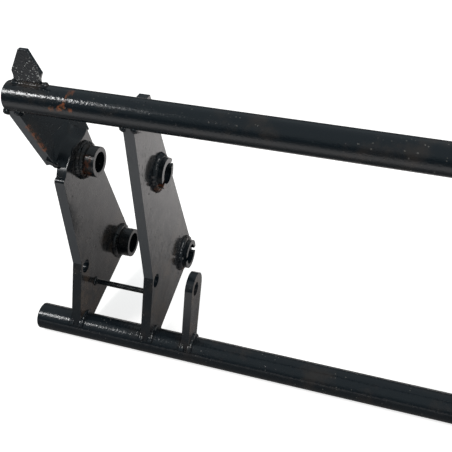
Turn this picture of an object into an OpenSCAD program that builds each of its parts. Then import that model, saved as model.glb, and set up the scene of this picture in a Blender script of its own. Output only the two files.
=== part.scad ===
// Quick change frame for a front loader, a welded carrier that attachments hook on to.
// X runs along the tubes, -Y is the attachment's side and +Z is up.
// The origin is the middle of the top tube's axis.

/* [Tubes] */
// Outside diameter of both cross tubes
tube_d = 54; // [48:1:60]
// Wall of both cross tubes
tube_wall = 8; // [5:0.5:12]
// Height of the top tube's axis above the bottom tube's axis
tube_rise = 525; // [490:5:570]
// Length of the top tube past each outer plate
top_overhang = 64; // [52:1:76]
// Length of the bottom tube past each outer plate
bottom_overhang = 81; // [40:1:100]

/* [Side plates] */
// Width over the outer plates
frame_w = 1080; // [1000:10:1200]
// Thickness of the side plates
plate_t = 20; // [15:1:25]
// Clear gap between an outer and an inner plate, where the loader arm goes
arm_gap = 135; // [115:1:160]
// Metal round the centre of each bush, to the plate's edge
plate_edge = 44; // [38:1:48]
// Height of the inner plate's top edge above the top tube's axis
crown_rise = 8; // [0:1:14]
// Height of the outer plate's rear horn above its top edge
horn_rise = 11; // [8:1:20]

/* [Tilt bushes] */
// Bore of the tilt bushes, for the tilt cylinder's pin
tilt_bore_d = 40; // [32:1:44]
// Outside diameter of the tilt bushes
tilt_bush_d = 60; // [54:1:66]
// Distance of the tilt bushes behind the top tube's axis
tilt_back = 80; // [70:1:95]
// Distance of the tilt bushes below the top tube's axis
tilt_drop = 161; // [150:1:180]
// Turn of the locking slot in the inner tilt bush, rear end up
tilt_slot_turn = 20; // [0:5:90]

/* [Arm bushes] */
// Bore of the arm bushes, for the loader arm's pin
arm_bore_d = 45; // [36:1:50]
// Outside diameter of the arm bushes
arm_bush_d = 64; // [58:1:72]
// Distance of the arm bushes behind the tubes' axes
arm_back = 195; // [175:1:215]
// Height of the arm bushes above the bottom tube's axis
arm_rise = 82; // [70:1:100]
// Turn of the locking slot in the inner arm bush, rear end up
arm_slot_turn = -12; // [-90:2:90]

/* [Bush ends] */
// Length of each outer bush past its plate, towards the arm
outer_boss = 33; // [10:1:45]
// Length of each inner bush past its plate, away from the arm
inner_boss = 17; // [12:1:30]
// Width of the locking slots
slot_w = 10; // [5:0.5:14]
// Depth of the locking slots
slot_deep = 10; // [4:0.5:11]

/* [Locking bores] */
// Bore for the locking pin
lock_bore_d = 28; // [22:1:32]
// Distance of the locking bores behind the tubes' axes
lock_back = 33; // [28:1:40]
// Distance of the locking bores below the top tube's axis
lock_drop = 390; // [370:1:400]
// Thickness of the lugs
lug_t = 16; // [10:1:20]
// Width of the lugs
lug_w = 62; // [54:1:66]
// Width of the lugs at the bottom tube
lug_foot_w = 52; // [40:1:53]
// Clear gap between an inner plate and its lug
lug_gap = 68; // [50:1:90]

/* [Braces] */
// Thickness of the slanted braces
brace_t = 20; // [14:1:22]
// Distance of the brace's front edge ahead of the top tube's axis
brace_front = 18; // [10:1:20]
// Distance from the brace's front foot corner back to the tubes' axes
brace_foot_back = 9; // [4:1:14]
// Distance of the brace's rear edge behind the tubes' axes
brace_back = 149; // [130:1:160]

/* [Guide fins] */
// Thickness of the guide fins
fin_t = 8; // [6:1:16]
// Height of the guide fins above the top tube's axis
fin_rise = 90; // [75:1:105]
// Length of a fin's foot along the tube
fin_foot = 50; // [40:1:60]
// Length of a fin's top edge
fin_top = 16; // [10:1:24]
// Distance from the tube's end to the fin's foot
fin_inset = 17; // [10:1:30]

/* [Cross rods] */
// Diameter of the rod between an outer and an inner plate
rod_d = 12; // [8:1:16]
// Distance of the rods behind the tubes' axes
rod_back = 64; // [56:1:72]
// Height of the rods above the bottom tube's axis
rod_rise = 69; // [62:1:76]

/* [Hidden] */

$fn = 96;
paint = [0.12, 0.15, 0.17];
tube_r = tube_d / 2;
// Turn between two points of an arc
arc_step = 7.5;
// How far a cut runs past the face that it starts from
past = 1;

// Stations along X on the left side, from the outside to the middle
outer_face = -frame_w / 2;
outer_inside = outer_face + plate_t;
inner_face = outer_inside + arm_gap;
inner_inside = inner_face + plate_t;
lug_face = inner_inside + lug_gap;
top_end = outer_face - top_overhang;
bottom_end = outer_face - bottom_overhang;

// Centres in the side view, as [Y, Z]
bottom = [0, -tube_rise];
tilt = [tilt_back, -tilt_drop];
arm = [arm_back, arm_rise - tube_rise];
lock = [lock_back, -lock_drop];
rod = [rod_back, rod_rise - tube_rise];

// Point at a distance r from c, in the direction a of the side view
function polar(c, r, a) = c + r * [cos(a), sin(a)];
// Points of an arc round c from the direction a to the direction b
function arc(c, r, a, b) =
    let (n = ceil(abs(b - a) / arc_step)) [for (i = [0 : n]) polar(c, r, a + (b - a) * i / n)];
// Direction in the side view from p to q
function bearing(p, q) = atan2(q.y - p.y, q.x - p.x);
// Point at the height z on the line through p in the direction a
function at_height(p, a, z) = [p.x + (z - p.y) * cos(a) / sin(a), z];

// The rear edge runs beside the line through both bushes
bush_line = bearing(tilt, arm);
rear_turn = bush_line + 90;
rear_arm = polar(arm, plate_edge, rear_turn);

// The lower edge leaves the arm bush's round and passes under the bottom tube's axis
foot_cover = 16;
foot_line = bearing(arm, bottom) - asin((plate_edge - foot_cover) / norm(arm - bottom));
foot_turn = foot_line + 90;
low_foot = polar(bottom, foot_cover, foot_turn);
arm_round = arc(arm, plate_edge, rear_turn, foot_turn);

// The front edge bends ahead of the locking bore and touches circles inside the tubes
bend_front = 15;
bend_rise = 16;
kink = lock + [-bend_front, bend_rise];
head_cover = 21;
toe_cover = 25.5;
front_line = bearing(kink, [0, 0]) + asin(head_cover / norm(kink));
head = polar([0, 0], head_cover, front_line + 90);
toe_line = bearing(kink, bottom) - asin(toe_cover / norm(kink - bottom));
toe = polar(bottom, toe_cover, toe_line - 90);

// The brace leans from the top tube's underside to the outer plate's face
foot_clear = 8;
foot_z = tilt.y + tilt_bore_d / 2 + foot_clear;
brace_head = sqrt(tube_r * tube_r - brace_front * brace_front);
brace_fall = -foot_z - brace_head;
brace_span = norm([top_overhang, brace_fall]);
lean = acos(brace_t / brace_span) - atan2(brace_fall, top_overhang);
// Its foot is cut square and its upper rear corner is cut off
foot_low = foot_z - brace_t * sin(lean);
brace_corner_drop = 70;

// The outer plate stops short of the top tube
brow_z = tilt.y + plate_edge;
horn_z = brow_z + horn_rise;
horn = at_height(rear_arm, bush_line, horn_z);
horn_tip = 1;
scoop_r = 50;
scoop_turn = asin(horn_rise / scoop_r - 1);
scoop = [horn.x - horn_tip - scoop_r * cos(scoop_turn), brow_z + scoop_r];
brow_flat = 34;
brow_front = [tilt.x - brow_flat, brow_z];
shoulder_back = 5;
shoulder_drop = 9;
shoulder = [brace_foot_back + shoulder_back, foot_z - shoulder_drop];
lip_drop = 35;
lip_r = 8;
lip_turn = 80;
lip = polar(at_height(head, front_line, foot_z - lip_drop), lip_r, front_line - 90);

// The lug's round end lies round its own point, beside the locking bore
crest_back = 7;
crest_drop = 3;
crest = lock + [crest_back, -crest_drop];

// The fin's edges stand up from the tube, jut out a little and lean in to the tip
nose_out = 1.5;
nose_foot = 48;
nose_drop = 39.5;
tip_in = 17.5;
hip_out = 5;
hip_foot = 52;
hip_drop = 40;

// Extrudes a side view along X, from the station x0 over the length w
module across(x0, w) {
    translate([x0, 0, 0]) rotate([90, 0, 90]) linear_extrude(w) children();
}

// A round bar along X through the side view's point c
module bar(c, d, x0, w) {
    translate([x0, c.x, c.y]) rotate([0, 90, 0]) cylinder(d = d, h = w);
}

// Draws a left-hand piece on the left, or its mirror image on the right
module on_side(side) {
    if (side < 0) children();
    if (side > 0) mirror([1, 0, 0]) children();
}

module pipe(c, end) {
    difference() {
        bar(c, tube_d, end, -2 * end);
        bar(c, tube_d - 2 * tube_wall, end - past, 2 * (past - end));
    }
}

module top_tube() {
    color(paint) pipe([0, 0], top_end);
}

module bottom_tube() {
    color(paint) pipe(bottom, bottom_end);
}

// Holes of a side plate, in the side view
module plate_holes() {
    translate(tilt) circle(d = tilt_bush_d);
    translate(arm) circle(d = arm_bush_d);
    translate(lock) circle(d = lock_bore_d);
    translate(bottom) circle(d = tube_d);
}

module outer_plate(side) {
    color(paint) on_side(side) across(outer_face, plate_t) difference() {
        polygon(concat(
            [kink], arc(lip, lip_r, front_line + 90, lip_turn),
            [shoulder, brow_front], arc(scoop, scoop_r, -90, scoop_turn),
            [horn], arm_round, [low_foot, bottom, toe]
        ));
        plate_holes();
    }
}

module inner_plate(side) {
    color(paint) on_side(side) across(inner_face, plate_t) difference() {
        polygon(concat(
            [kink, head, [0, crown_rise], at_height(rear_arm, bush_line, crown_rise)],
            arm_round, [low_foot, bottom, toe]
        ));
        circle(d = tube_d);
        plate_holes();
    }
}

// The brace's slanted section, seen from the front, meets its side view
module brace(side) {
    far = brace_back + tube_d;
    color(paint) on_side(side) difference() {
        intersection() {
            translate([0, far, 0]) rotate([90, 0, 0]) linear_extrude(2 * far) polygon([
                [outer_face, foot_z],
                [outer_face + foot_z * tan(lean), 0],
                [top_end, 0],
                [top_end, -brace_head],
                [outer_face - brace_t * cos(lean), foot_low]
            ]);
            across(top_end, top_overhang) polygon([
                [brace_foot_back, foot_low],
                [-brace_front, -brace_head],
                [0, 0],
                [tube_r, 0],
                [brace_back, -brace_corner_drop],
                [brace_back, foot_low]
            ]);
        }
        bar([0, 0], tube_d, top_end - past, top_overhang + 2 * past);
    }
}

// A plain bush through a plate, with the bore c
module bush(c, bore_d, bush_d, x0, w) {
    difference() {
        bar(c, bush_d, x0, w);
        bar(c, bore_d, x0 - past, w + 2 * past);
    }
}

module outer_bush(side, c, bore_d, bush_d) {
    color(paint) on_side(side) bush(c, bore_d, bush_d, outer_face, plate_t + outer_boss);
}

// The inner bushes have a slot across the end that keeps the pin's keeper from turning
module inner_bush(side, c, bore_d, bush_d, turn) {
    color(paint) on_side(side) difference() {
        bush(c, bore_d, bush_d, inner_face, plate_t + inner_boss);
        translate([inner_inside + inner_boss - slot_deep, c.x, c.y])
            rotate([turn, 0, 0])
            translate([0, -bush_d, -slot_w / 2])
            cube([slot_deep + past, 2 * bush_d, slot_w]);
    }
}

// A lug on the bottom tube that carries the locking pin's inner end
module lug(side) {
    slope = bearing(bottom, crest);
    color(paint) on_side(side) across(lug_face, lug_t) difference() {
        polygon(concat(
            arc(crest, lug_w / 2, slope + 90, slope - 90),
            [polar(bottom, lug_foot_w / 2, slope - 90), polar(bottom, lug_foot_w / 2, slope + 90)]
        ));
        translate(lock) circle(d = lock_bore_d);
        translate(bottom) circle(d = tube_d);
    }
}

module cross_rod(side) {
    color(paint) on_side(side) bar(rod, rod_d, outer_inside, arm_gap);
}

// A fin on the tube's end that centres an attachment's hook
module guide_fin(side) {
    foot_x = top_end + fin_inset;
    tip_x = foot_x + tip_in;
    color(paint) on_side(side) difference() {
        translate([0, fin_t / 2, 0]) rotate([90, 0, 0]) linear_extrude(fin_t) polygon([
            [foot_x, 0],
            [foot_x, fin_rise - nose_foot],
            [foot_x - nose_out, fin_rise - nose_drop],
            [tip_x, fin_rise],
            [tip_x + fin_top, fin_rise],
            [foot_x + fin_foot + hip_out, fin_rise - hip_drop],
            [foot_x + fin_foot, fin_rise - hip_foot],
            [foot_x + fin_foot, 0]
        ]);
        bar([0, 0], tube_d, top_end, fin_foot + 2 * fin_inset);
    }
}

top_tube();
bottom_tube();
guide_fin(-1);  // guide_fin_left
guide_fin(1);  // guide_fin_right
brace(-1);  // brace_left
brace(1);  // brace_right
outer_plate(-1);  // outer_plate_left
outer_plate(1);  // outer_plate_right
inner_plate(-1);  // inner_plate_left
inner_plate(1);  // inner_plate_right
lug(-1);  // lug_left
lug(1);  // lug_right
outer_bush(-1, tilt, tilt_bore_d, tilt_bush_d);  // tilt_bush_outer_left
outer_bush(1, tilt, tilt_bore_d, tilt_bush_d);  // tilt_bush_outer_right
inner_bush(-1, tilt, tilt_bore_d, tilt_bush_d, tilt_slot_turn);  // tilt_bush_inner_left
inner_bush(1, tilt, tilt_bore_d, tilt_bush_d, tilt_slot_turn);  // tilt_bush_inner_right
outer_bush(-1, arm, arm_bore_d, arm_bush_d);  // arm_bush_outer_left
outer_bush(1, arm, arm_bore_d, arm_bush_d);  // arm_bush_outer_right
inner_bush(-1, arm, arm_bore_d, arm_bush_d, arm_slot_turn);  // arm_bush_inner_left
inner_bush(1, arm, arm_bore_d, arm_bush_d, arm_slot_turn);  // arm_bush_inner_right
cross_rod(-1);  // cross_rod_left
cross_rod(1);  // cross_rod_right
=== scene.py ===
import math
import random

import bpy
from mathutils import Matrix, Vector


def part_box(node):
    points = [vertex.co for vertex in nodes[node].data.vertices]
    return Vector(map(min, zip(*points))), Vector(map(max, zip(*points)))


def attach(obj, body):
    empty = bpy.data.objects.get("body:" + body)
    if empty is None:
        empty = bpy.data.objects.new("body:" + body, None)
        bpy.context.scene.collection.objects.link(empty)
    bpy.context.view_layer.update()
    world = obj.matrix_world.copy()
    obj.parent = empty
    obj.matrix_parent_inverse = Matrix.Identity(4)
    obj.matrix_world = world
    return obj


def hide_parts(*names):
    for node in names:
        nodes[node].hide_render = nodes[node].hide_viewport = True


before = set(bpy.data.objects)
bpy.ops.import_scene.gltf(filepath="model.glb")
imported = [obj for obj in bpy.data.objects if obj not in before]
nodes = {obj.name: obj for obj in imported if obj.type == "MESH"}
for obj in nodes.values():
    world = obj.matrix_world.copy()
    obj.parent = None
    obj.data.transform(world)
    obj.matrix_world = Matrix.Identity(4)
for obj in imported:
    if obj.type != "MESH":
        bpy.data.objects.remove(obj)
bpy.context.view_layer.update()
bpy.ops.object.select_all(action="DESELECT")

# Camera: the place and turn that fit the bushes, bores and edges seen in the photograph
image_px = 452
eye = Vector((0.0499, -0.9055, 0.5036))
yaw = 0.2822
pitch = 0.5777
roll = 0.0087
focal_px = 667.4
centre_px = Vector((225.4, 185.0))
sensor_mm = 36.0


def add_camera():
    """The camera of the photograph, with its picture's centre shifted on the sensor."""
    forward = Vector((-math.sin(yaw) * math.cos(pitch), math.cos(yaw) * math.cos(pitch), -math.sin(pitch)))
    level = Vector((math.cos(yaw), math.sin(yaw), 0.0))
    right = Matrix.Rotation(-roll, 3, forward) @ level
    up = right.cross(forward)
    bpy.ops.object.camera_add(location=eye)
    camera = bpy.context.object
    camera.matrix_world = Matrix.Translation(eye) @ Matrix((right, up, -forward)).transposed().to_4x4()
    camera.data.sensor_width = sensor_mm
    camera.data.lens = focal_px * sensor_mm / image_px
    camera.data.shift_x = (image_px / 2 - centre_px.x) / image_px
    camera.data.shift_y = (centre_px.y - image_px / 2) / image_px
    camera.data.clip_start = 0.01
    bpy.context.scene.camera = camera


add_camera()

# Stations along X and centres in the side view, read from the frame's left half. An "out" is the distance of
# a piece's outer face from the middle plane, and an "in" that of its inner face.
tube_low, tube_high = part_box("top_tube")
tube_r = (tube_high.z - tube_low.z) / 2
tube_end = tube_high.x
floor_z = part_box("bottom_tube")[0].z
bottom_z = floor_z + tube_r
top_centre = (0.0, 0.0)
bottom_centre = (0.0, bottom_z)
outer_low, outer_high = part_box("outer_plate_left")
inner_low, inner_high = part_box("inner_plate_left")
lug_low, lug_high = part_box("lug_left")
fin_low, fin_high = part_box("guide_fin_left")
brace_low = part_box("brace_left")[0]
outer_out, outer_in = -outer_low.x, -outer_high.x
inner_out, inner_in = -inner_low.x, -inner_high.x
lug_out, lug_in = -lug_low.x, -lug_high.x
fin_out, fin_in = -fin_low.x, -fin_high.x
fin_half = (fin_high.y - fin_low.y) / 2

# Rounding of the finished pieces' edges, the turns in degrees that count as an edge, as smooth and as flat,
# and the distances that merge seams or tell that a corner lies on a face
plate_round = 0.0012
lug_round = 0.0010
bush_round = 0.0014
fin_round = 0.0018
tube_round = 0.0022
edge_turn = 30
smooth_turn = 32
flat_turn = 0.5
seam_merge = 1e-5
weld_merge = 1e-6
on_face = 1e-5

# Weld beads: the distance between a ripple's crest and its valley, the ripple's share of the radius, how far
# random lumps make the bead swell, how much of the swell goes on to the next ripple, and the beads' radii
half_ripple = 0.0013
bead_ripple = 0.035
bead_lumps = 0.14
fin_lumps = 0.26
bead_carry = 0.86
weld_size = 0.0065
boss_weld = 0.0085
boss_second_weld = 0.0055
boss_second_step = 0.008
seal_weld = 0.0025
rod_weld = 0.004
fin_weld = 0.006
fin_weld_sink = 0.0005
weld_seeds = {"left": 100, "right": 500}

# How far the beads go round, in degrees from +Y towards +Z, and the straight steps of such an arc
arc_steps = 48
ring_wrap = (0.0, 354.0)
plate_wrap_top = (225.0, 377.0)
plate_wrap_bottom = (-21.0, 144.5)
lug_wrap = (-3.0, 149.0)
brace_wrap = (228.0, 356.0)
brace_wrap_outside = (228.0, 312.0)

# The groove's fill, as (height above the plate's edge, distance outside the plate's face, pull to the brace)
fill_section = (
    (-0.0004, -0.0186, 0.0), (0.0025, -0.0130, 0.30), (0.0060, -0.0070, 0.55),
    (0.0110, -0.0010, 0.75), (0.0180, 0.0045, 0.90), (0.0270, 0.0098, 1.0),
    (0.0100, 0.0200, 0.0), (-0.0120, 0.0020, 0.0), (-0.0040, -0.0186, 0.0),
)
fill_smooth_turn = 40

# The plate's edge beside the brace: how far below the brace's foot it counts, and how far clear of the bush
rim_below = 0.004
rim_clear = 0.002

# The bead under the brace's foot: its distance outside the plate, above the foot's end and ahead of the
# plate's edge, and the Y where it ends
foot_bead_out = 0.001
foot_bead_up = 0.003
foot_bead_ahead = 0.004
foot_bead_back = 0.112

# The rods' thread: its pitch and depth, the radius of its three-sided ridge and the ridge's steps in a turn
thread_pitch = 0.00175
thread_depth = 0.0008
ridge_radius = 0.00095
ridge_steps = 14
thread_smooth_turn = 35

# Spatter: the drops' smallest and largest radius, how fast larger ones get rare, their height as a share of
# their width, the distance they are thrown from, and the directions they are thrown in
drop_least = 0.0004
drop_most = 0.0018
drop_rarity = 1800.0
drop_flatness = 0.6
throw = 0.3
from_front = Vector((0.0, 1.0, 0.0))
from_back = Vector((0.0, -1.0, 0.0))
from_above = Vector((0.0, 0.6, -0.8))
spatter_seeds = {"left": 900, "right": 950}


def side_centre(node):
    """Centre of a node in the side view, as (Y, Z), and its radius."""
    low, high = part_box(node)
    return (low.y + high.y) / 2, (low.z + high.z) / 2, (high.z - low.z) / 2


def slanted_face(node, inner):
    """The plane of a left brace's inner or outer face, as (X at Z = 0, X per Z)."""
    sign = 1 if inner else -1
    mesh = nodes[node].data
    sides = [f for f in mesh.polygons if f.normal.x * sign > 0.5 and abs(f.normal.y) < 0.01]
    face = max(sides, key=lambda f: f.area)
    slope = -face.normal.z / face.normal.x
    return face.center.x - slope * face.center.z, slope


# Colours of the paint and of what shows through it, linear
paint_black = (0.0065, 0.0105, 0.0140, 1.0)
paint_brown = (0.042, 0.032, 0.026, 1.0)
rust_orange = (0.24, 0.072, 0.028, 1.0)
rust_dark = (0.040, 0.026, 0.015, 1.0)
dust_pale = (0.16, 0.15, 0.135, 1.0)
# The bare spatter drops' pale grey, which also stands in for glints as painted highlights
spatter_glint_pale = (0.42, 0.42, 0.41, 1.0)
scale_grey = (0.075, 0.070, 0.068, 1.0)
scale_brown = (0.080, 0.057, 0.042, 1.0)
pit_black = (0.0030, 0.0030, 0.0035, 1.0)
# The flame-cut front edges' pale grey, laid where they face forward and not up: partly their own colour,
# partly a painted sheen
cut_grey_sheen = (0.070, 0.076, 0.084, 1.0)

# Patterns in the paint, in repeats per metre
waves_per_m = 26.0
peel_per_m = 260.0
specks_per_m = 150.0
speck_patches_per_m = 14.0
blotches_per_m = 17.0
dull_patches_per_m = 30.0
chips_per_m = 95.0
clouds_per_m = 38.0
pits_per_m = 190.0
brown_patches_per_m = 24.0
stain_grain_per_m = 110.0
scorch_per_m = 150.0
drop_paint_per_m = 420.0

# The paint's relief in metres where its height is 1, the height of pits, its roughness where it is dull, worn
# or flame-cut, the dust on specks, and its index of refraction
relief = 0.0001
pit_height = -1.5
dull_rise = 0.10
worn_rise = 0.3
cut_rise = 0.25
speck_dust = 0.55
paint_ior = 1.5


def new_group(name, inputs, outputs):
    """A shader node group with its named sockets."""
    group = bpy.data.node_groups.new(name, "ShaderNodeTree")
    for socket, kind, value in inputs:
        made = group.interface.new_socket(socket, in_out="INPUT", socket_type=kind)
        made.default_value = value
    for socket, kind in outputs:
        group.interface.new_socket(socket, in_out="OUTPUT", socket_type=kind)
    return group, group.nodes.new("NodeGroupInput"), group.nodes.new("NodeGroupOutput")


def maths(tree, operation, a, b=None, clamp=False):
    """A Math node that takes sockets or plain numbers."""
    node = tree.nodes.new("ShaderNodeMath")
    node.operation = operation
    node.use_clamp = clamp
    for place, value in enumerate((a, b)):
        if value is None:
            continue
        if isinstance(value, (int, float)):
            node.inputs[place].default_value = value
        else:
            tree.links.new(value, node.inputs[place])
    return node.outputs[0]


def ramp(tree, value, low, high):
    """Rises from 0 at low to 1 at high."""
    node = tree.nodes.new("ShaderNodeMapRange")
    node.interpolation_type = "SMOOTHSTEP"
    node.inputs["From Min"].default_value = low
    node.inputs["From Max"].default_value = high
    tree.links.new(value, node.inputs["Value"])
    return node.outputs["Result"]


def noise_at(tree, place, scale, detail, roughness=0.5):
    """A noise pattern with the given repeats per metre."""
    node = tree.nodes.new("ShaderNodeTexNoise")
    node.inputs["Detail"].default_value = detail
    node.inputs["Roughness"].default_value = roughness
    tree.links.new(place, node.inputs["Vector"])
    if isinstance(scale, (int, float)):
        node.inputs["Scale"].default_value = scale
    else:
        tree.links.new(scale, node.inputs["Scale"])
    return node.outputs["Fac"]


def object_place(tree):
    """Object coordinates, which are metres in the shared frame."""
    return tree.nodes.new("ShaderNodeTexCoord").outputs["Object"]


def build_paint_skin():
    """Sprayed paint: its height, with waves, peel and specks, and its brownish blotches and dull patches."""
    group, given, result = new_group(
        "paint_skin",
        [(name, "NodeSocketFloat", 1.0) for name in ("Waves", "Peel", "Specks")],
        [(name, "NodeSocketFloat") for name in ("Height", "Speck", "Blotch", "Dull")],
    )
    place = object_place(group)
    waves = maths(group, "MULTIPLY", noise_at(group, place, waves_per_m, 2.0), given.outputs["Waves"])
    peel = maths(group, "MULTIPLY", noise_at(group, place, peel_per_m, 2.0), given.outputs["Peel"])
    cells = group.nodes.new("ShaderNodeTexVoronoi")
    cells.inputs["Scale"].default_value = specks_per_m
    group.links.new(place, cells.inputs["Vector"])
    dot = maths(group, "SUBTRACT", 1.0, ramp(group, cells.outputs["Distance"], 0.10, 0.26))
    parts = group.nodes.new("ShaderNodeSeparateColor")
    group.links.new(cells.outputs["Color"], parts.inputs["Color"])
    rare = ramp(group, parts.outputs[0], 0.62, 0.68)
    patches = ramp(group, noise_at(group, place, speck_patches_per_m, 2.0), 0.42, 0.62)
    speck = maths(group, "MULTIPLY", maths(group, "MULTIPLY", dot, rare), patches)
    raised = maths(group, "MULTIPLY", speck, given.outputs["Specks"])
    total = maths(group, "ADD", maths(group, "ADD", waves, peel), raised)
    group.links.new(total, result.inputs["Height"])
    group.links.new(speck, result.inputs["Speck"])
    blotch = ramp(group, noise_at(group, place, blotches_per_m, 5.0, 0.6), 0.50, 0.72)
    group.links.new(blotch, result.inputs["Blotch"])
    dull = ramp(group, noise_at(group, place, dull_patches_per_m, 4.0), 0.45, 0.75)
    group.links.new(dull, result.inputs["Dull"])
    return group


def build_worn_edges():
    """Where the paint is thin along sharp edges."""
    group, given, result = new_group(
        "worn_edges",
        [("Width", "NodeSocketFloat", 0.0012), ("Amount", "NodeSocketFloat", 1.0)],
        [("Mask", "NodeSocketFloat")],
    )
    rounded = group.nodes.new("ShaderNodeBevel")
    rounded.samples = 4
    group.links.new(given.outputs["Width"], rounded.inputs["Radius"])
    flat = group.nodes.new("ShaderNodeNewGeometry")
    turn = group.nodes.new("ShaderNodeVectorMath")
    turn.operation = "DOT_PRODUCT"
    group.links.new(rounded.outputs["Normal"], turn.inputs[0])
    group.links.new(flat.outputs["Normal"], turn.inputs[1])
    edge = ramp(group, maths(group, "SUBTRACT", 1.0, turn.outputs["Value"]), 0.02, 0.18)
    broken = ramp(group, noise_at(group, object_place(group), chips_per_m, 4.0, 0.6), 0.50, 0.66)
    mask = maths(group, "MULTIPLY", maths(group, "MULTIPLY", edge, broken), given.outputs["Amount"])
    group.links.new(mask, result.inputs["Mask"])
    return group


def build_cut_edges_sheen():
    """The flame-cut front edges that face forward and not up: duller, and paler as a painted sheen."""
    group, given, result = new_group(
        "cut_edges_sheen",
        [("Lean", "NodeSocketFloat", 0.12)],
        [("Mask", "NodeSocketFloat")],
    )
    flat = group.nodes.new("ShaderNodeNewGeometry")
    split = group.nodes.new("ShaderNodeSeparateXYZ")
    group.links.new(flat.outputs["True Normal"], split.inputs[0])
    ahead = ramp(group, split.outputs["Y"], -0.70, -0.85)
    level = ramp(group, maths(group, "SUBTRACT", split.outputs["Z"], given.outputs["Lean"]), 0.05, -0.05)
    group.links.new(maths(group, "MULTIPLY", ahead, level), result.inputs["Mask"])
    return group


def build_mottling():
    """Mill scale under thin paint on broad faces: cloudy patches, dark pits and brown towards the bottom."""
    group, given, result = new_group(
        "mottling",
        [("Brown Top", "NodeSocketFloat", -0.25), ("Brown Bottom", "NodeSocketFloat", -0.45)],
        [(name, "NodeSocketFloat") for name in ("Clouds", "Pits", "Brown")],
    )
    place = object_place(group)
    split = group.nodes.new("ShaderNodeSeparateXYZ")
    group.links.new(place, split.inputs[0])
    facing = group.nodes.new("ShaderNodeSeparateXYZ")
    group.links.new(group.nodes.new("ShaderNodeNewGeometry").outputs["True Normal"], facing.inputs[0])
    broad = ramp(group, maths(group, "ABSOLUTE", facing.outputs["X"]), 0.70, 0.90)
    clouds = ramp(group, noise_at(group, place, clouds_per_m, 6.0, 0.7), 0.36, 0.68)
    pits = ramp(group, noise_at(group, place, pits_per_m, 3.0, 0.6), 0.60, 0.68)
    group.links.new(maths(group, "MULTIPLY", clouds, broad), result.inputs["Clouds"])
    group.links.new(maths(group, "MULTIPLY", pits, broad), result.inputs["Pits"])
    low = group.nodes.new("ShaderNodeMapRange")
    low.interpolation_type = "SMOOTHSTEP"
    group.links.new(given.outputs["Brown Top"], low.inputs["From Min"])
    group.links.new(given.outputs["Brown Bottom"], low.inputs["From Max"])
    group.links.new(split.outputs["Z"], low.inputs["Value"])
    patches = ramp(group, noise_at(group, place, brown_patches_per_m, 6.0, 0.65), 0.44, 0.62)
    brown = maths(group, "MULTIPLY", maths(group, "MULTIPLY", low.outputs["Result"], patches), broad)
    group.links.new(brown, result.inputs["Brown"])
    return group


def build_heat_stain():
    """A blotchy patch round a point and round its mirror image, and where rust in it is orange."""
    group, given, result = new_group(
        "heat_stain",
        [
            ("Centre", "NodeSocketVector", (0.0, 0.0, 0.0)),
            ("Reach", "NodeSocketVector", (1.0, 1.0, 1.0)),
            ("Grain", "NodeSocketFloat", stain_grain_per_m),
            ("Breakup", "NodeSocketFloat", 3.0),
        ],
        [("Mask", "NodeSocketFloat"), ("Orange", "NodeSocketFloat")],
    )
    place = object_place(group)
    both = group.nodes.new("ShaderNodeVectorMath")
    both.operation = "ABSOLUTE"
    group.links.new(place, both.inputs[0])
    split = group.nodes.new("ShaderNodeSeparateXYZ")
    group.links.new(both.outputs["Vector"], split.inputs[0])
    plain = group.nodes.new("ShaderNodeSeparateXYZ")
    group.links.new(place, plain.inputs[0])
    folded = group.nodes.new("ShaderNodeCombineXYZ")
    group.links.new(split.outputs["X"], folded.inputs["X"])
    group.links.new(plain.outputs["Y"], folded.inputs["Y"])
    group.links.new(plain.outputs["Z"], folded.inputs["Z"])
    offset = group.nodes.new("ShaderNodeVectorMath")
    offset.operation = "SUBTRACT"
    group.links.new(folded.outputs[0], offset.inputs[0])
    group.links.new(given.outputs["Centre"], offset.inputs[1])
    share = group.nodes.new("ShaderNodeVectorMath")
    share.operation = "DIVIDE"
    group.links.new(offset.outputs["Vector"], share.inputs[0])
    group.links.new(given.outputs["Reach"], share.inputs[1])
    far = group.nodes.new("ShaderNodeVectorMath")
    far.operation = "LENGTH"
    group.links.new(share.outputs["Vector"], far.inputs[0])
    grain = noise_at(group, place, given.outputs["Grain"], 5.0, 0.62)
    broken = maths(group, "MULTIPLY", maths(group, "SUBTRACT", grain, 0.5), given.outputs["Breakup"])
    edge = maths(group, "ADD", far.outputs["Value"], broken)
    group.links.new(ramp(group, edge, 1.0, 0.3), result.inputs["Mask"])
    orange = ramp(group, noise_at(group, place, scorch_per_m, 4.0, 0.6), 0.42, 0.60)
    group.links.new(orange, result.inputs["Orange"])
    return group


paint_skin = build_paint_skin()
worn_edges = build_worn_edges()
heat_stain = build_heat_stain()
mottling = build_mottling()
cut_edges_sheen = build_cut_edges_sheen()


def use_group(tree, group, **values):
    """Places a group in a material with its own values."""
    node = tree.nodes.new("ShaderNodeGroup")
    node.node_tree = group
    for name, value in values.items():
        node.inputs[name].default_value = value
    return node


# Places of the Mix node's colour sockets
mix_below, mix_above, mix_result = 6, 7, 2


def mixed(tree, share, below, above):
    """Colour below, turning to the colour above where share is 1."""
    node = tree.nodes.new("ShaderNodeMix")
    node.data_type = "RGBA"
    tree.links.new(share, node.inputs["Factor"])
    for place, value in ((mix_below, below), (mix_above, above)):
        if isinstance(value, tuple):
            node.inputs[place].default_value = value
        else:
            tree.links.new(value, node.inputs[place])
    return node.outputs[mix_result]


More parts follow.
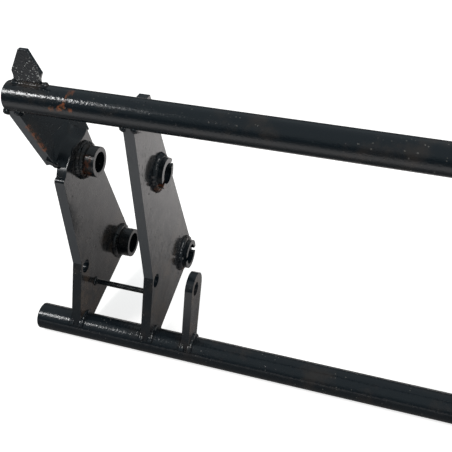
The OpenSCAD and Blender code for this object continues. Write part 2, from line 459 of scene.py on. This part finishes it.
def black_paint(
    name, waves, peel, specks, wear, brown, gloss, stains=(), breakup=3.0, clouds=0.0, cut_and_sheen=0.0,
):
    """Sprayed gloss black over steel.

    Waves, peel and specks give its relief, wear bares its sharp edges, brown tints its blotches and
    gloss is its roughness. Stains are patches of rust and breakup makes them ragged. Clouds shows mill
    scale through the paint, and the cut share makes the flame-cut front edges duller, and paler as a
    painted sheen where they face forward and not up.
    """
    material = bpy.data.materials.new(name)
    material.use_nodes = True
    tree = material.node_tree
    shader = tree.nodes["Principled BSDF"]
    skin = use_group(tree, paint_skin, Waves=waves, Peel=peel, Specks=specks)
    colour = mixed(tree, maths(tree, "MULTIPLY", skin.outputs["Blotch"], brown), paint_black, paint_brown)
    colour = mixed(tree, maths(tree, "MULTIPLY", skin.outputs["Speck"], speck_dust), colour, dust_pale)
    if cut_and_sheen:
        # The flame-cut front edges where they face forward and not up: duller, and a paler grey that is
        # partly a painted sheen
        sheen_cut_mask = maths(tree, "MULTIPLY", use_group(tree, cut_edges_sheen).outputs["Mask"], cut_and_sheen)
        colour = mixed(tree, sheen_cut_mask, colour, cut_grey_sheen)
    height = skin.outputs["Height"]
    if clouds:
        scale = use_group(tree, mottling)
        height = maths(tree, "ADD", height, maths(tree, "MULTIPLY", scale.outputs["Pits"], pit_height))
        colour = mixed(tree, maths(tree, "MULTIPLY", scale.outputs["Clouds"], clouds), colour, scale_grey)
        colour = mixed(tree, maths(tree, "MULTIPLY", scale.outputs["Brown"], clouds), colour, scale_brown)
        colour = mixed(tree, maths(tree, "MULTIPLY", scale.outputs["Pits"], clouds), colour, pit_black)
    for centre, reach, strength in stains:
        stain = use_group(tree, heat_stain, Centre=centre, Reach=reach, Breakup=breakup)
        burnt = mixed(tree, stain.outputs["Orange"], rust_dark, rust_orange)
        colour = mixed(tree, maths(tree, "MULTIPLY", stain.outputs["Mask"], strength), colour, burnt)
    edges = use_group(tree, worn_edges, Amount=wear)
    colour = mixed(tree, edges.outputs["Mask"], colour, dust_pale)
    rough = maths(tree, "ADD", maths(tree, "MULTIPLY", skin.outputs["Dull"], dull_rise), gloss)
    worn = maths(tree, "MULTIPLY", edges.outputs["Mask"], worn_rise)
    rough = maths(tree, "ADD", rough, worn, clamp=True)
    if cut_and_sheen:
        rough = maths(tree, "ADD", rough, maths(tree, "MULTIPLY", sheen_cut_mask, cut_rise), clamp=True)
    tree.links.new(colour, shader.inputs["Base Color"])
    tree.links.new(rough, shader.inputs["Roughness"])
    bump = tree.nodes.new("ShaderNodeBump")
    bump.inputs["Strength"].default_value = 1.0
    bump.inputs["Distance"].default_value = relief
    tree.links.new(height, bump.inputs["Height"])
    tree.links.new(bump.outputs["Normal"], shader.inputs["Normal"])
    shader.inputs["IOR"].default_value = paint_ior
    return material


def brace_corner_rust(strength, reach, heights):
    """Stains strung along the corner between a brace's front edge and its inner face."""
    at_zero, slope = slanted_face("brace_left", True)
    corners = [v.co for v in nodes["brace_left"].data.vertices]
    top = min(corners, key=lambda place: place.y)
    foot = min(corners, key=lambda place: (round(place.z, 4), place.y))
    lean = (foot.y - top.y) / (foot.z - top.z)
    return [((-(at_zero + slope * z), top.y + lean * (z - top.z), z), reach, strength) for z in heights]


# Rust where the paint has burnt or chipped, as (centre, reach, strength); X is the distance from the middle
tube_rust = (
    ((0.508, -0.027, 0.002), (0.008, 0.008, 0.007), 0.9),
    ((0.492, -0.027, 0.004), (0.009, 0.008, 0.009), 1.0),
    ((0.486, -0.024, 0.013), (0.004, 0.006, 0.010), 0.9),
    ((0.482, -0.017, 0.021), (0.004, 0.008, 0.008), 0.8),
    ((0.478, -0.007, 0.026), (0.008, 0.010, 0.006), 0.5),
    ((0.4735, -0.027, 0.001), (0.005, 0.006, 0.006), 0.8),
)
brace_rust = brace_corner_rust(
    0.9, (0.007, 0.012, 0.007), (-0.053, -0.061, -0.069, -0.077, -0.085, -0.093, -0.101))
boss_rust = (
    ((0.357, 0.057, -0.181), (0.014, 0.024, 0.013), 0.75),
    ((0.505, 0.052, -0.172), (0.014, 0.012, 0.016), 0.5),
    ((0.498, 0.058, -0.146), (0.010, 0.014, 0.020), 0.4),
    ((0.357, 0.173, -0.467), (0.012, 0.016, 0.010), 0.5),
)

# The paints, as (name, waves, peel, specks, wear, brown, gloss)
tube_paint = black_paint("gloss_black_tube", 3.0, 4.0, 3.0, 0.5, 0.5, 0.13, tube_rust)
plate_paint = black_paint("gloss_black_plate", 2.0, 0.4, 0.8, 0.5, 0.5, 0.13, clouds=0.8, cut_and_sheen=0.6)
brace_paint = black_paint(
    "gloss_black_brace", 5.0, 1.0, 0.8, 0.6, 0.7, 0.24, brace_rust, breakup=1.1, cut_and_sheen=0.9)
boss_paint = black_paint("gloss_black_boss", 2.0, 4.0, 3.0, 0.8, 0.5, 0.20, boss_rust, breakup=2.2)
fin_paint = black_paint("gloss_black_fin", 3.0, 4.0, 3.0, 1.0, 0.0, 0.16)
rod_paint = black_paint("gloss_black_rod", 1.0, 1.0, 1.0, 0.4, 0.8, 0.2)
weld_paint = black_paint("gloss_black_weld", 6.0, 4.0, 3.0, 0.0, 0.9, 0.16, boss_rust, breakup=2.2)


def build_spatter_glint_paint():
    """Spatter that the paint covers only in part, its bare pale drops partly painted glints."""
    material = bpy.data.materials.new("bare_spatter_glints")
    material.use_nodes = True
    tree = material.node_tree
    shader = tree.nodes["Principled BSDF"]
    cover = ramp(tree, noise_at(tree, object_place(tree), drop_paint_per_m, 2.0), 0.44, 0.56)
    tree.links.new(mixed(tree, cover, spatter_glint_pale, paint_black), shader.inputs["Base Color"])
    rough = maths(tree, "ADD", maths(tree, "MULTIPLY", cover, -0.15), 0.35)
    tree.links.new(rough, shader.inputs["Roughness"])
    return material


spatter_glint_paint = build_spatter_glint_paint()


def finish_piece(piece, material, slot, *replaced):
    """Gives a modelled piece its paint and its body. Its slot is not used."""
    piece.data.materials.clear()
    piece.data.materials.append(material)
    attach(piece, "root")
    if replaced:
        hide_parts(*replaced)


def pick(piece):
    """Makes a piece the only selected and active one."""
    bpy.ops.object.select_all(action="DESELECT")
    piece.select_set(True)
    bpy.context.view_layer.objects.active = piece


def settle(piece, name):
    """Moves a piece's place into its mesh and names it."""
    pick(piece)
    bpy.ops.object.transform_apply(location=True, rotation=True, scale=True)
    piece.name = name
    piece.data.name = name


def smooth(piece, degrees):
    """Smooth shading up to an angle, with flat faces kept flat."""
    pick(piece)
    bpy.ops.object.shade_smooth_by_angle(angle=math.radians(degrees))
    flat = piece.modifiers.new("flat_faces", "WEIGHTED_NORMAL")
    flat.keep_sharp = True
    bpy.ops.object.modifier_apply(modifier=flat.name)


def round_edges(piece, width, segments):
    """Rounds every sharp edge."""
    pick(piece)
    bevel = piece.modifiers.new("edges", "BEVEL")
    bevel.width = width
    bevel.segments = segments
    bevel.limit_method = "ANGLE"
    bevel.angle_limit = math.radians(edge_turn)
    bevel.use_clamp_overlap = True
    bpy.ops.object.modifier_apply(modifier=bevel.name)


def finished_copy(node, edge, segments=2):
    """A copy of a node with its seams closed, its flat faces whole and its edges rounded."""
    piece = bpy.data.objects.new(node + "_finish", nodes[node].data.copy())
    bpy.context.scene.collection.objects.link(piece)
    pick(piece)
    bpy.ops.mesh.customdata_custom_splitnormals_clear()
    bpy.ops.object.mode_set(mode="EDIT")
    bpy.ops.mesh.select_all(action="SELECT")
    bpy.ops.mesh.remove_doubles(threshold=seam_merge)
    bpy.ops.mesh.dissolve_limited(angle_limit=math.radians(flat_turn))
    bpy.ops.object.mode_set(mode="OBJECT")
    round_edges(piece, edge, segments)
    smooth(piece, smooth_turn)
    return piece


# Steel pieces, each with slightly rounded edges
for side in ("left", "right"):
    for name, edge, paint in (
        ("outer_plate", plate_round, plate_paint), ("inner_plate", plate_round, plate_paint),
        ("brace", plate_round, brace_paint), ("lug", lug_round, plate_paint),
    ):
        node = f"{name}_{side}"
        finish_piece(finished_copy(node, edge), paint, "black_paint_plate", node)
    for name in ("tilt_bush_outer", "tilt_bush_inner", "arm_bush_outer", "arm_bush_inner"):
        node = f"{name}_{side}"
        finish_piece(finished_copy(node, bush_round), boss_paint, "black_paint_boss", node)
    node = f"guide_fin_{side}"
    finish_piece(finished_copy(node, fin_round, 3), fin_paint, "black_paint_fin", node)
for node in ("top_tube", "bottom_tube"):
    finish_piece(finished_copy(node, tube_round, 3), tube_paint, "black_paint_tube", node)


def bead(path, size, seed, closed=False, lumps=bead_lumps):
    """A weld bead along a path, sunk to half its depth: rippled, with uneven lumps."""
    chance = random.Random(seed)
    line = bpy.data.curves.new("bead", "CURVE")
    line.dimensions = "3D"
    line.bevel_depth = 1.0
    line.bevel_resolution = 2
    line.use_fill_caps = not closed
    spline = line.splines.new("POLY")
    spline.points.add(len(path) - 1)
    spline.use_cyclic_u = closed
    spline.use_smooth = True
    swell = 0.0
    for step, place in enumerate(path):
        swell = bead_carry * swell + chance.uniform(-0.5, 0.5) * lumps
        ripple = bead_ripple if step % 2 else -bead_ripple
        spline.points[step].co = (*place, 1.0)
        spline.points[step].radius = size * (1.0 + ripple + swell)
    piece = bpy.data.objects.new("bead", line)
    bpy.context.scene.collection.objects.link(piece)
    pick(piece)
    bpy.ops.object.convert(target="MESH")
    return piece


def spread(path, closed=False):
    """The same path with points one half ripple apart."""
    corners = list(path) + ([path[0]] if closed else [])
    points = []
    for start, stop in zip(corners, corners[1:]):
        count = max(1, round((stop - start).length / half_ripple))
        points += [start.lerp(stop, step / count) for step in range(count)]
    return points if closed else points + [corners[-1]]


def arc_points(x, centre, radius, start, stop):
    """Points of an arc in the plane X = x, by its direction from +Y towards +Z in degrees."""
    turns = [math.radians(start + (stop - start) * step / arc_steps) for step in range(arc_steps + 1)]
    y, z = centre
    return [Vector((x, y + radius * math.cos(turn), z + radius * math.sin(turn))) for turn in turns]


def close_seams(piece):
    """Merges a mesh's doubled corners and turns its faces outwards."""
    pick(piece)
    bpy.ops.object.mode_set(mode="EDIT")
    bpy.ops.mesh.select_all(action="SELECT")
    bpy.ops.mesh.remove_doubles(threshold=weld_merge)
    bpy.ops.mesh.normals_make_consistent(inside=False)
    bpy.ops.object.mode_set(mode="OBJECT")


def join_welds(name, beads, slot):
    """Makes one piece of several beads."""
    bpy.ops.object.select_all(action="DESELECT")
    for piece in beads:
        piece.select_set(True)
    bpy.context.view_layer.objects.active = beads[0]
    bpy.ops.object.join()
    piece = bpy.context.object
    close_seams(piece)
    bpy.ops.object.shade_smooth()
    settle(piece, name)
    finish_piece(piece, weld_paint, slot)


def weld_side(side, sign):
    """All welds of one half; sign is -1 on the left."""
    seed = weld_seeds[side]

    def ring(x, node, size, number, lumps=bead_lumps):
        y, z, radius = side_centre(node)
        path = spread(arc_points(sign * x, (y, z), radius, *ring_wrap), closed=True)
        return bead(path, size, seed + number, closed=True, lumps=lumps)

    def wraps(stations, centre, turns, number):
        paths = [spread(arc_points(sign * x, centre, tube_r, *turns)) for x in stations]
        return [bead(path, weld_size, seed + number + place) for place, path in enumerate(paths)]

    rings = [
        ring(outer_in, "tilt_bush_outer_left", boss_weld, 1, lumps=0.24),
        ring(outer_in, "arm_bush_outer_left", boss_weld, 2),
        ring(inner_in, "tilt_bush_inner_left", boss_weld, 3, lumps=0.20),
        ring(inner_in, "arm_bush_inner_left", boss_weld, 4),
        ring(outer_out, "tilt_bush_outer_left", seal_weld, 5),
        ring(outer_out, "arm_bush_outer_left", seal_weld, 6),
        ring(inner_out, "tilt_bush_inner_left", seal_weld, 7),
        ring(inner_out, "arm_bush_inner_left", seal_weld, 8),
        ring(outer_in - boss_second_step, "tilt_bush_outer_left", boss_second_weld, 11, lumps=0.30),
        ring(outer_in, "cross_rod_left", rod_weld, 9),
        ring(inner_out, "cross_rod_left", rod_weld, 10),
    ]
    join_welds(f"welds_bushes_{side}", rings, "black_paint_boss")
    top = wraps((inner_out, inner_in), top_centre, plate_wrap_top, 20)
    join_welds(f"welds_top_tube_{side}", top, "black_paint_plate")
    low = wraps((outer_out, outer_in, inner_out, inner_in), bottom_centre, plate_wrap_bottom, 30)
    low += wraps((lug_out, lug_in), bottom_centre, lug_wrap, 40)
    join_welds(f"welds_bottom_tube_{side}", low, "black_paint_plate")
    corners = ((fin_out, -fin_half), (fin_in, -fin_half), (fin_in, fin_half), (fin_out, fin_half))
    fin_path = spread([Vector((sign * x, y, tube_r - fin_weld_sink)) for x, y in corners], closed=True)
    fin_bead = bead(fin_path, fin_weld, seed + 50, closed=True, lumps=fin_lumps)
    join_welds(f"welds_fin_{side}", [fin_bead], "black_paint_fin")
    braces = []
    for number, (inner, turns) in enumerate(((True, brace_wrap), (False, brace_wrap_outside))):
        at_zero, slope = slanted_face("brace_left", inner)
        path = arc_points(0.0, top_centre, tube_r, *turns)
        for place in path:
            place.x = -sign * (at_zero + slope * place.z)
        braces.append(bead(spread(path), weld_size, seed + 60 + number))
    rim = groove_rim()
    braces.append(foot_bead(sign, rim, seed + 70))
    join_welds(f"welds_brace_{side}", braces, "black_paint_plate")
    fill = groove_fill(side, sign, rim)
    settle(fill, f"groove_fill_{side}")
    close_seams(fill)
    smooth(fill, fill_smooth_turn)
    finish_piece(fill, brace_paint, "black_paint_plate")


def groove_rim():
    """The outer plate's top edge beside the brace, as (Y, Z) from the front to the back."""
    bush_y, bush_z, bush_r = side_centre("tilt_bush_outer_left")
    face = [v.co for v in nodes["outer_plate_left"].data.vertices if abs(v.co.x - outer_low.x) < on_face]
    places = {
        (round(corner.y, 5), round(corner.z, 5)) for corner in face
        if corner.y > brace_low.y and corner.z > brace_low.z - rim_below
        and math.hypot(corner.y - bush_y, corner.z - bush_z) > bush_r + rim_clear
    }
    return sorted(places)[:-1]


def groove_fill(side, sign, rim):
    """The ground-off weld that fills the groove between the brace and the outer plate's top edge.

    The section is swept along the edge, and its upper points are drawn on to the brace's face. A sweep turns
    a section's X down, so a height has a minus sign there.
    """
    section = bpy.data.curves.new("section", "CURVE")
    section.dimensions = "2D"
    outline = section.splines.new("POLY")
    outline.points.add(len(fill_section) - 1)
    outline.use_cyclic_u = True
    for point, (up, out, _) in zip(outline.points, fill_section):
        point.co = (-up, out * sign, 0.0, 1.0)
    profile = bpy.data.objects.new("section", section)
    bpy.context.scene.collection.objects.link(profile)
    line = bpy.data.curves.new("fill", "CURVE")
    line.dimensions = "2D"
    line.fill_mode = "NONE"
    line.bevel_mode = "OBJECT"
    line.bevel_object = profile
    line.use_fill_caps = True
    spline = line.splines.new("POLY")
    spline.points.add(len(rim) - 1)
    for point, (y, z) in zip(spline.points, rim):
        point.co = (y, z, 0.0, 1.0)
    piece = bpy.data.objects.new("fill", line)
    bpy.context.scene.collection.objects.link(piece)
    pick(piece)
    bpy.ops.object.convert(target="MESH")
    piece.rotation_euler = (math.pi / 2, 0.0, math.pi / 2)
    piece.location = (sign * outer_out, 0.0, 0.0)
    bpy.ops.object.transform_apply(location=True, rotation=True, scale=True)
    bpy.data.objects.remove(profile)
    pulled = piece.vertex_groups.new(name="pulled")
    for _, out, pull in fill_section:
        if pull:
            station = outer_out + out
            row = [v.index for v in piece.data.vertices if abs(abs(v.co.x) - station) < on_face]
            pulled.add(row, pull, "REPLACE")
    onto = piece.modifiers.new("on_brace", "SHRINKWRAP")
    onto.wrap_method = "PROJECT"
    onto.use_project_x = True
    onto.use_negative_direction = True
    onto.use_positive_direction = True
    onto.target = bpy.data.objects[f"brace_{side}_finish"]
    onto.vertex_group = pulled.name
    bpy.context.view_layer.update()
    bpy.ops.object.modifier_apply(modifier=onto.name)
    return piece


def foot_bead(sign, rim, seed):
    """The bead under the brace's foot."""
    x = sign * (outer_out + foot_bead_out)
    z = brace_low.z + foot_bead_up
    path = [Vector((x, y, z)) for y in (rim[0][0] - foot_bead_ahead, foot_bead_back)]
    return bead(spread(path), weld_size, seed)


weld_side("left", -1)
weld_side("right", 1)


def thread_rod(side, sign):
    """A rod with a thread all along, between the outer and the inner plate."""
    y, z, radius = side_centre("cross_rod_left")
    middle = sign * (outer_in + inner_out) / 2
    length = outer_in - inner_out
    bpy.ops.mesh.primitive_cylinder_add(
        vertices=24, radius=radius - thread_depth, depth=length,
        location=(middle, y, z), rotation=(0.0, math.pi / 2, 0.0))
    core = bpy.context.object
    turns = int(length / thread_pitch) - 1
    start = middle - turns * thread_pitch / 2 - thread_pitch / 2
    bpy.ops.mesh.primitive_circle_add(vertices=3, radius=ridge_radius, location=(start, y, z))
    ridge = bpy.context.object
    bpy.ops.object.mode_set(mode="EDIT")
    bpy.ops.mesh.select_all(action="SELECT")
    bpy.ops.transform.translate(value=(0.0, radius - ridge_radius, 0.0))
    bpy.ops.object.mode_set(mode="OBJECT")
    screw = ridge.modifiers.new("thread", "SCREW")
    screw.axis = "X"
    screw.steps = ridge_steps
    screw.render_steps = ridge_steps
    screw.screw_offset = thread_pitch
    screw.iterations = turns
    pick(ridge)
    bpy.ops.object.modifier_apply(modifier=screw.name)
    core.select_set(True)
    bpy.context.view_layer.objects.active = core
    bpy.ops.object.join()
    piece = bpy.context.object
    settle(piece, f"threaded_rod_{side}")
    smooth(piece, thread_smooth_turn)
    finish_piece(piece, rod_paint, "black_paint_rod", f"cross_rod_{side}")


thread_rod("left", -1)
thread_rod("right", 1)


def add_spatter(name, places, seed, slot, material):
    """Weld spatter: small flat drops where rays meet a piece.

    A place is (piece to hit, middle, scatter round it, direction of the rays, number of rays).
    """
    chance = random.Random(seed)
    bpy.ops.object.select_all(action="DESELECT")
    bpy.ops.mesh.primitive_ico_sphere_add(subdivisions=1, radius=1.0, location=(0.0, 0.0, 0.0))
    drop = bpy.context.object
    bpy.ops.object.mode_set(mode="EDIT")
    bpy.ops.mesh.select_all(action="SELECT")
    bpy.ops.transform.resize(value=(1.0, 1.0, drop_flatness))
    bpy.ops.object.mode_set(mode="OBJECT")
    bpy.ops.object.shade_smooth()
    bpy.context.view_layer.update()
    drops = []
    for target, middle, scatter, direction, count in places:
        for _ in range(count):
            near = Vector(at + chance.gauss(0.0, apart) for at, apart in zip(middle, scatter))
            start = near - throw * direction
            hit, place, normal, _ = bpy.data.objects[target].ray_cast(start, direction)
            if not hit:
                continue
            size = min(drop_most, drop_least + chance.expovariate(drop_rarity))
            turn = normal.to_track_quat("Z", "Y").to_matrix().to_4x4()
            copy = drop.copy()
            copy.data = drop.data.copy()
            copy.matrix_world = Matrix.Translation(place) @ turn @ Matrix.Scale(size, 4)
            bpy.context.scene.collection.objects.link(copy)
            drops.append(copy)
    bpy.data.objects.remove(drop)
    bpy.ops.object.select_all(action="DESELECT")
    for copy in drops:
        copy.select_set(True)
    bpy.context.view_layer.objects.active = drops[0]
    bpy.ops.object.join()
    piece = bpy.context.object
    settle(piece, name)
    finish_piece(piece, material, slot)


def spatter_side(side, sign):
    """The spatter of one half: round its fin, along both tubes and round its bushes. The fin's pale drops and
    a few at the top tube's end are partly painted glints.
    """
    seed = spatter_seeds[side]
    fin = f"guide_fin_{side}_finish"
    fin_place = (sign * (fin_out + fin_in) / 2, 0.0, tube_r + 0.016)
    fin_edge_place = (sign * (fin_in + 0.006), 0.0, tube_r + 0.022)
    tube_end_glint_place = (sign * (tube_end - 0.032), 0.0, -0.018)
    fin_places = [
        (fin, fin_place, (0.020, 0.0, 0.016), from_front, 150),
        (fin, fin_edge_place, (0.004, 0.0, 0.022), from_front, 70),
        # A few pale drops at the top tube's end, standing in as painted glints
        ("top_tube_finish", tube_end_glint_place, (0.005, 0.0, 0.002), from_front, 12),
        (fin, fin_place, (0.020, 0.0, 0.020), from_back, 70),
    ]
    add_spatter(f"spatter_glints_fin_{side}", fin_places, seed, "black_paint_fin", spatter_glint_paint)
    tube_places = [
        (f"{tube}_tube_finish", (sign * x, 0.0, z), scatter, from_above, count)
        for tube, x, z, scatter, count in (
            ("top", fin_in, 0.0, (0.040, 0.012, 0.0), 90),
            ("top", inner_in, 0.0, (0.030, 0.012, 0.0), 50),
            ("bottom", outer_in, bottom_z, (0.025, 0.014, 0.0), 50),
            ("bottom", inner_in, bottom_z, (0.025, 0.014, 0.0), 50),
            ("bottom", lug_in, bottom_z, (0.022, 0.014, 0.0), 40),
        )
    ]
    add_spatter(f"spatter_tubes_{side}", tube_places, seed + 1, "black_paint_tube", tube_paint)
    across = Vector((sign, 0.0, 0.0))
    plate_places = []
    for plate, x in (("outer", outer_in), ("inner", inner_in)):
        for bush in ("tilt", "arm"):
            y, z, _ = side_centre(f"{bush}_bush_{plate}_left")
            piece = f"{plate}_plate_{side}_finish"
            plate_places.append((piece, (sign * x, y, z), (0.0, 0.028, 0.028), across, 45))
    add_spatter(f"spatter_plates_{side}", plate_places, seed + 2, "black_paint_plate", plate_paint)


spatter_side("left", -1)
spatter_side("right", 1)


# Floor: its own light lifts it to white in the picture. The paint mirrors a dimmer floor with pools of light
# on it, as (near edge, brightest, far edge, strength) along Y.
floor_size = 16.0
floor_cream = (0.86, 0.83, 0.79, 1.0)
floor_lift = 0.75
mirror_tint = (1.0, 0.965, 0.955, 1.0)
mirror_glow = 0.15
floor_glow = ((0.03, 0.8, 2.6, 1.08), (-0.12, -0.6, -2.2, 0.8))
white = (1.0, 1.0, 1.0, 1.0)

# Room that the paint mirrors: its colour, its strength all round, and what is added overhead and on the right
room_blue = (0.85, 0.95, 1.0, 1.0)
room_all_round = 0.06
room_overhead = 0.32
room_right = 0.24


def add_floor():
    """A matt white floor, as the photograph's ground, which the paint mirrors as a dimmer one."""
    bpy.ops.mesh.primitive_plane_add(size=floor_size, location=(0.0, 0.0, floor_z))
    floor = bpy.context.object
    floor.name = "floor"
    material = bpy.data.materials.new("pale_floor")
    material.use_nodes = True
    tree = material.node_tree
    tree.nodes.clear()
    out = tree.nodes.new("ShaderNodeOutputMaterial")
    matt = tree.nodes.new("ShaderNodeBsdfDiffuse")
    matt.inputs["Color"].default_value = floor_cream
    lift = tree.nodes.new("ShaderNodeEmission")
    lift.inputs["Color"].default_value = white
    rays = tree.nodes.new("ShaderNodeLightPath")
    straight, through = rays.outputs["Is Camera Ray"], rays.outputs["Is Transmission Ray"]
    seen = maths(tree, "ADD", straight, through, clamp=True)
    tree.links.new(maths(tree, "MULTIPLY", seen, floor_lift), lift.inputs["Strength"])
    both = tree.nodes.new("ShaderNodeAddShader")
    tree.links.new(matt.outputs[0], both.inputs[0])
    tree.links.new(lift.outputs[0], both.inputs[1])
    split = tree.nodes.new("ShaderNodeSeparateXYZ")
    tree.links.new(object_place(tree), split.inputs[0])
    glow = mirror_glow
    for near, middle, far, height in floor_glow:
        rise = ramp(tree, split.outputs["Y"], near, middle)
        fall = ramp(tree, split.outputs["Y"], far, middle)
        pool = maths(tree, "MULTIPLY", maths(tree, "MULTIPLY", rise, fall), height)
        glow = maths(tree, "ADD", pool, glow)
    mirrored = tree.nodes.new("ShaderNodeEmission")
    mirrored.inputs["Color"].default_value = mirror_tint
    tree.links.new(glow, mirrored.inputs["Strength"])
    by_ray = tree.nodes.new("ShaderNodeMixShader")
    tree.links.new(rays.outputs["Is Glossy Ray"], by_ray.inputs[0])
    tree.links.new(both.outputs[0], by_ray.inputs[1])
    tree.links.new(mirrored.outputs[0], by_ray.inputs[2])
    tree.links.new(by_ray.outputs[0], out.inputs["Surface"])
    floor.data.materials.append(material)


def light_world():
    """A bluish room, brighter overhead and low on the right, in front of a white background."""
    world = bpy.data.worlds.new("studio")
    bpy.context.scene.world = world
    world.use_nodes = True
    tree = world.node_tree
    tree.nodes.clear()
    out = tree.nodes.new("ShaderNodeOutputWorld")
    room = tree.nodes.new("ShaderNodeBackground")
    room.inputs["Color"].default_value = room_blue
    split = tree.nodes.new("ShaderNodeSeparateXYZ")
    tree.links.new(tree.nodes.new("ShaderNodeTexCoord").outputs["Generated"], split.inputs[0])
    overhead = ramp(tree, split.outputs["Z"], 0.05, 0.65)
    sky = maths(tree, "ADD", maths(tree, "MULTIPLY", overhead, room_overhead), room_all_round)
    right = ramp(tree, split.outputs["X"], 0.2, 0.6)
    low = maths(tree, "MULTIPLY", right, ramp(tree, split.outputs["Z"], 0.5, 0.1))
    sky = maths(tree, "ADD", sky, maths(tree, "MULTIPLY", low, room_right))
    tree.links.new(sky, room.inputs["Strength"])
    backdrop = tree.nodes.new("ShaderNodeBackground")
    backdrop.inputs["Color"].default_value = white
    rays = tree.nodes.new("ShaderNodeLightPath")
    mix = tree.nodes.new("ShaderNodeMixShader")
    tree.links.new(rays.outputs["Is Camera Ray"], mix.inputs[0])
    tree.links.new(room.outputs[0], mix.inputs[1])
    tree.links.new(backdrop.outputs[0], mix.inputs[2])
    tree.links.new(mix.outputs[0], out.inputs["Surface"])


def add_softbox(name, place, aim, width, height, power):
    """A flat lamp at a place, turned to face a point."""
    bpy.ops.object.light_add(type="AREA", location=place)
    lamp = bpy.context.object
    lamp.name = name
    lamp.data.shape = "RECTANGLE"
    lamp.data.size = width
    lamp.data.size_y = height
    lamp.data.energy = power
    lamp.rotation_euler = (Vector(aim) - Vector(place)).to_track_quat("-Z", "Y").to_euler()


add_floor()
light_world()

# Lamps, as (name, place, point it faces, width, height, watts)
add_softbox("key", (-2.13, -1.36, 1.82), (-0.45, 0.0, -0.2), 0.50, 0.60, 26.0)
add_softbox("key_side", (-1.76, -1.48, 1.74), (-0.45, 0.0, -0.2), 0.55, 0.55, 3.5)
add_softbox("fill", (2.4, -0.6, 2.0), (0.0, 0.0, -0.2), 1.6, 1.6, 45.0)

bpy.context.scene.view_settings.view_transform = "Standard"
